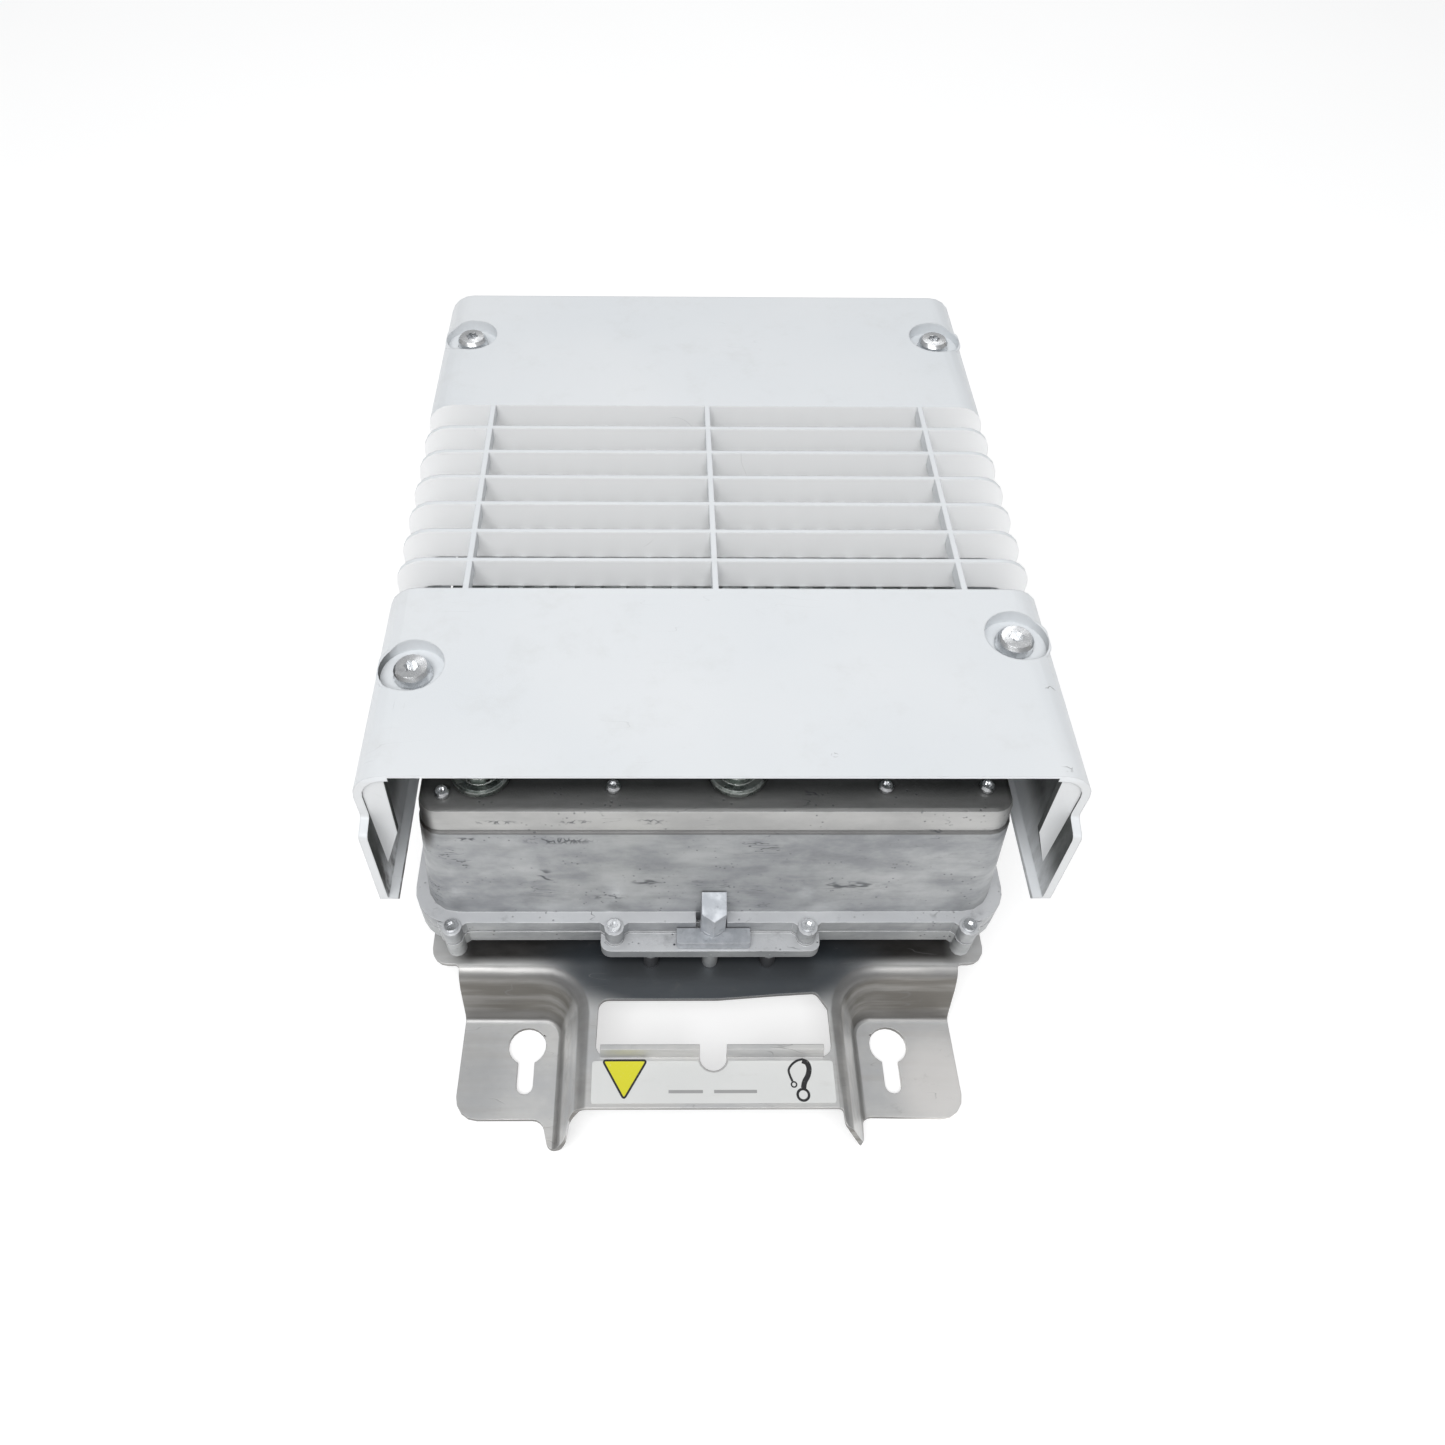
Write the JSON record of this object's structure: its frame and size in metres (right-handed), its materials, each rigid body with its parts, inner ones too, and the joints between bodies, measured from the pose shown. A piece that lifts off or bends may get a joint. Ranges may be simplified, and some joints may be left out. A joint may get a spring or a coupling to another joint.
{
  "type": "micro inverter",
  "caption": "Outdoor micro inverter: finned die-cast case under a louvred U-shaped sunshade, on a keyhole wall bracket with a lifting strap.",
  "frame": {"origin": "centre of the bounding box's base: on the wall plane, midway along the bracket and across the sunshade", "axes": "+Z away from the wall, +Y towards the connector end, which hangs down when installed, +X to the right seen from the lifting strap"},
  "size_m": [0.24, 0.3914, 0.1545],
  "materials": {
    "cover": "pale grey-white, semi-gloss",
    "steel": "zinc-plated steel",
    "cast": "die-cast, scuffed, satin",
    "rubber": "black, matt",
    "zinc": "cast, smooth",
    "finned": "extruded, dull",
    "label": "white film",
    "sheet": "stainless sheet, brushed",
    "black": "black, matt",
    "lens": "pale green, clear",
    "brass": "bright",
    "board": "green circuit board",
    "pad": "grey-blue gap pad",
    "ferrite": "dark ferrite",
    "tape": "yellow tape over wire",
    "copper": "enamelled copper wire",
    "can": "dark sleeved cans",
    "film": "blue moulded case",
    "relay": "black moulded case",
    "plug": "green moulded block"
  },
  "bodies": {
    "unit": {"housing": "cast", "gasket": "rubber", "bottom_cover": "cast", "guide_lug": "zinc", "flange_screw_1": "steel", "flange_screw_2": "steel", "flange_screw_3": "steel", "flange_screw_4": "steel", "flange_screw_5": "steel", "flange_screw_6": "steel", "flange_screw_7": "steel", "flange_screw_8": "steel", "heat_sink": "finned", "heat_sink_screw_1": "steel", "heat_sink_screw_2": "steel", "deck_screw_1": "steel", "deck_screw_2": "steel", "deck_screw_3": "steel", "deck_screw_4": "steel", "vent_plug": "cast", "vent_membrane": "label", "blanking_plug": "cast", "plug_seal_1": "rubber", "plug_seal_2": "rubber", "wall_bracket": "sheet", "strap_label": "label", "bracket_screw_1": "steel", "bracket_screw_2": "steel", "bracket_screw_3": "steel", "bracket_screw_4": "steel", "dc_connector_1": "black", "dc_connector_2": "black", "dc_connector_3": "black", "dc_connector_4": "black", "ac_connector": "black", "ac_nut": "zinc", "status_lens": "lens", "ground_stud": "brass", "main_board": "board", "board_screw_1": "steel", "board_screw_2": "steel", "board_screw_3": "steel", "board_screw_4": "steel", "heat_spreader": "finned", "power_module": "black", "thermal_pad": "pad", "transformer_core": "ferrite", "transformer_winding": "tape", "choke": "copper", "capacitor_bank": "can", "film_capacitor": "film", "relay": "relay", "control_card": "board", "terminal_block": "plug", "insulating_sheet": "black"},
    "sunshade": {"sunshade_cover": "cover", "cover_screw_1": "steel", "cover_screw_2": "steel", "cover_screw_3": "steel", "cover_screw_4": "steel"}
  },
  "joints": [
    {"name": "sunshade_lift", "type": "slide", "parent": "unit", "child": "sunshade", "axis": [0, 0, 1], "range_m": [0, 0.075]}
  ]
}
